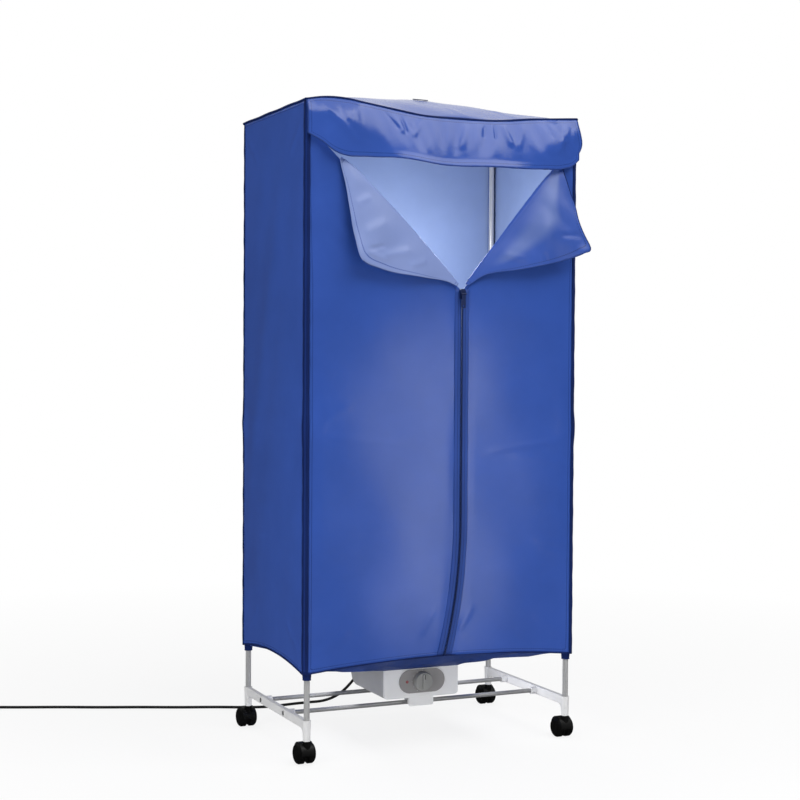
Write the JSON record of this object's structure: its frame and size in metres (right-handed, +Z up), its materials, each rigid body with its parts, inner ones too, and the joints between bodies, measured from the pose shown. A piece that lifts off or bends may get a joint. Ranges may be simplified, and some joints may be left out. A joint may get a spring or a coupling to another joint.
{
  "type": "portable clothes dryer",
  "caption": "Wardrobe type clothes dryer: tube frame on casters, zipped fabric cover opened in a V, and a fan heater with a timer knob on rails under it.",
  "frame": {"origin": "on the floor, midway between the four posts", "axes": "+Z up, -Y to the front with the zip and the knob, +X to the right seen from the front"},
  "size_m": [1.3517, 0.9052, 1.4884],
  "materials": {
    "frame_white": "satin white moulding",
    "steel_tube": "grey steel tube",
    "caster_black": "black moulding",
    "wheel_black": "black moulding",
    "axle_steel": "plain steel",
    "heater_grey": "light grey moulding",
    "control_grey": "mid grey moulding",
    "lens_red": "tinted lens",
    "inner_metal": "plain",
    "fan_plastic": "plain",
    "cord_black": "black",
    "cover_blue": "blue woven polyester",
    "zip_navy": "navy tape and coil chain",
    "zip_metal": "painted navy",
    "eyelet_dark": "dark moulding"
  },
  "bodies": {
    "frame": {"side_frame_left": "frame_white", "side_frame_right": "frame_white", "top_bracket_left": "frame_white", "top_bracket_right": "frame_white", "post_couplers": "frame_white", "lower_posts": "steel_tube", "upper_posts": "steel_tube", "heater_rail_front": "steel_tube", "heater_rail_back": "steel_tube", "hanging_rail_front": "steel_tube", "hanging_rail_back": "steel_tube", "rail_screws": "steel_tube", "heater_housing": "heater_grey", "heater_fascia": "heater_grey", "outlet_grille": "heater_grey", "rail_clips": "heater_grey", "housing_screws": "axle_steel", "control_plate": "control_grey", "indicator_lens": "lens_red", "fan_motor": "inner_metal", "heating_element": "inner_metal", "timer_unit": "inner_metal", "cord_gland": "cord_black", "power_cord": "cord_black", "cord_coil": "cord_black", "cord_tie": "cord_black", "power_plug": "cord_black", "cover_left": "cover_blue", "cover_right": "cover_blue", "cover_back": "cover_blue", "cover_front_left": "cover_blue", "cover_front_right": "cover_blue", "cover_top": "cover_blue", "cover_floor": "cover_blue", "corner_cuffs": "cover_blue", "zip_chain": "zip_navy", "vent_eyelet": "eyelet_dark"},
    "caster_front_left": {"caster_hood_front_left": "caster_black", "caster_axle_front_left": "axle_steel"},
    "wheel_a_body_front_left": {"wheel_a_front_left": "wheel_black"},
    "wheel_b_body_front_left": {"wheel_b_front_left": "wheel_black"},
    "caster_front_right": {"caster_hood_front_right": "caster_black", "caster_axle_front_right": "axle_steel"},
    "wheel_a_body_front_right": {"wheel_a_front_right": "wheel_black"},
    "wheel_b_body_front_right": {"wheel_b_front_right": "wheel_black"},
    "caster_back_left": {"caster_hood_back_left": "caster_black", "caster_axle_back_left": "axle_steel"},
    "wheel_a_body_back_left": {"wheel_a_back_left": "wheel_black"},
    "wheel_b_body_back_left": {"wheel_b_back_left": "wheel_black"},
    "caster_back_right": {"caster_hood_back_right": "caster_black", "caster_axle_back_right": "axle_steel"},
    "wheel_a_body_back_right": {"wheel_a_back_right": "wheel_black"},
    "wheel_b_body_back_right": {"wheel_b_back_right": "wheel_black"},
    "impeller": {"fan_impeller": "fan_plastic"},
    "knob": {"timer_knob": "control_grey"},
    "slider": {"zip_slider": "zip_metal"},
    "pull": {"zip_pull": "zip_metal"},
    "left_lapel": {"lapel_left": "cover_blue"},
    "right_lapel": {"lapel_right": "cover_blue"},
    "valance": {"cover_valance": "cover_blue"}
  },
  "joints": [
    {"name": "swivel_front_left", "type": "hinge", "parent": "frame", "child": "caster_front_left", "pos_m": [-0.323, -0.194, 0.052], "axis": [0, 0, 1], "continuous": true},
    {"name": "spin_a_front_left", "type": "hinge", "parent": "caster_front_left", "child": "wheel_a_body_front_left", "pos_m": [-0.323, -0.18, 0.023], "axis": [1, 0, 0], "continuous": true},
    {"name": "spin_b_front_left", "type": "hinge", "parent": "caster_front_left", "child": "wheel_b_body_front_left", "pos_m": [-0.323, -0.18, 0.023], "axis": [1, 0, 0], "continuous": true},
    {"name": "swivel_front_right", "type": "hinge", "parent": "frame", "child": "caster_front_right", "pos_m": [0.323, -0.194, 0.052], "axis": [0, 0, 1], "continuous": true},
    {"name": "spin_a_front_right", "type": "hinge", "parent": "caster_front_right", "child": "wheel_a_body_front_right", "pos_m": [0.323, -0.18, 0.023], "axis": [1, 0, 0], "continuous": true},
    {"name": "spin_b_front_right", "type": "hinge", "parent": "caster_front_right", "child": "wheel_b_body_front_right", "pos_m": [0.323, -0.18, 0.023], "axis": [1, 0, 0], "continuous": true},
    {"name": "swivel_back_left", "type": "hinge", "parent": "frame", "child": "caster_back_left", "pos_m": [-0.323, 0.194, 0.052], "axis": [0, 0, 1], "continuous": true},
    {"name": "spin_a_back_left", "type": "hinge", "parent": "caster_back_left", "child": "wheel_a_body_back_left", "pos_m": [-0.323, 0.208, 0.023], "axis": [1, 0, 0], "continuous": true},
    {"name": "spin_b_back_left", "type": "hinge", "parent": "caster_back_left", "child": "wheel_b_body_back_left", "pos_m": [-0.323, 0.208, 0.023], "axis": [1, 0, 0], "continuous": true},
    {"name": "swivel_back_right", "type": "hinge", "parent": "frame", "child": "caster_back_right", "pos_m": [0.323, 0.194, 0.052], "axis": [0, 0, 1], "continuous": true},
    {"name": "spin_a_back_right", "type": "hinge", "parent": "caster_back_right", "child": "wheel_a_body_back_right", "pos_m": [0.323, 0.208, 0.023], "axis": [1, 0, 0], "continuous": true},
    {"name": "spin_b_back_right", "type": "hinge", "parent": "caster_back_right", "child": "wheel_b_body_back_right", "pos_m": [0.323, 0.208, 0.023], "axis": [1, 0, 0], "continuous": true},
    {"name": "fan_spin", "type": "hinge", "parent": "frame", "child": "impeller", "pos_m": [0, 0.018, 0.15], "axis": [0, 0, 1], "continuous": true},
    {"name": "timer_turn", "type": "hinge", "parent": "frame", "child": "knob", "pos_m": [0, -0.096, 0.14], "axis": [0, 1, 0], "range_deg": [0, 300]},
    {"name": "zip_slide", "type": "slide", "parent": "frame", "child": "slider", "axis": [0, 0, -1], "range_m": [0, 0.45]},
    {"name": "zip_pull_swing", "type": "hinge", "parent": "slider", "child": "pull", "pos_m": [0.04, -0.21565, 1.029], "axis": [-1, 0, 0], "range_deg": [0, 110]},
    {"name": "left_lapel_fold", "type": "hinge", "parent": "frame", "child": "left_lapel", "pos_m": [0.04, -0.2059, 1.04], "axis": [-0.7286, 0, 0.685], "range_deg": [0, 140]},
    {"name": "right_lapel_fold", "type": "hinge", "parent": "frame", "child": "right_lapel", "pos_m": [0.04, -0.2059, 1.04], "axis": [-0.642, 0, -0.7667], "range_deg": [0, 115]},
    {"name": "valance_lift", "type": "hinge", "parent": "frame", "child": "valance", "pos_m": [0, -0.2063, 1.437], "axis": [-1, 0, 0], "range_deg": [0, 95]}
  ]
}
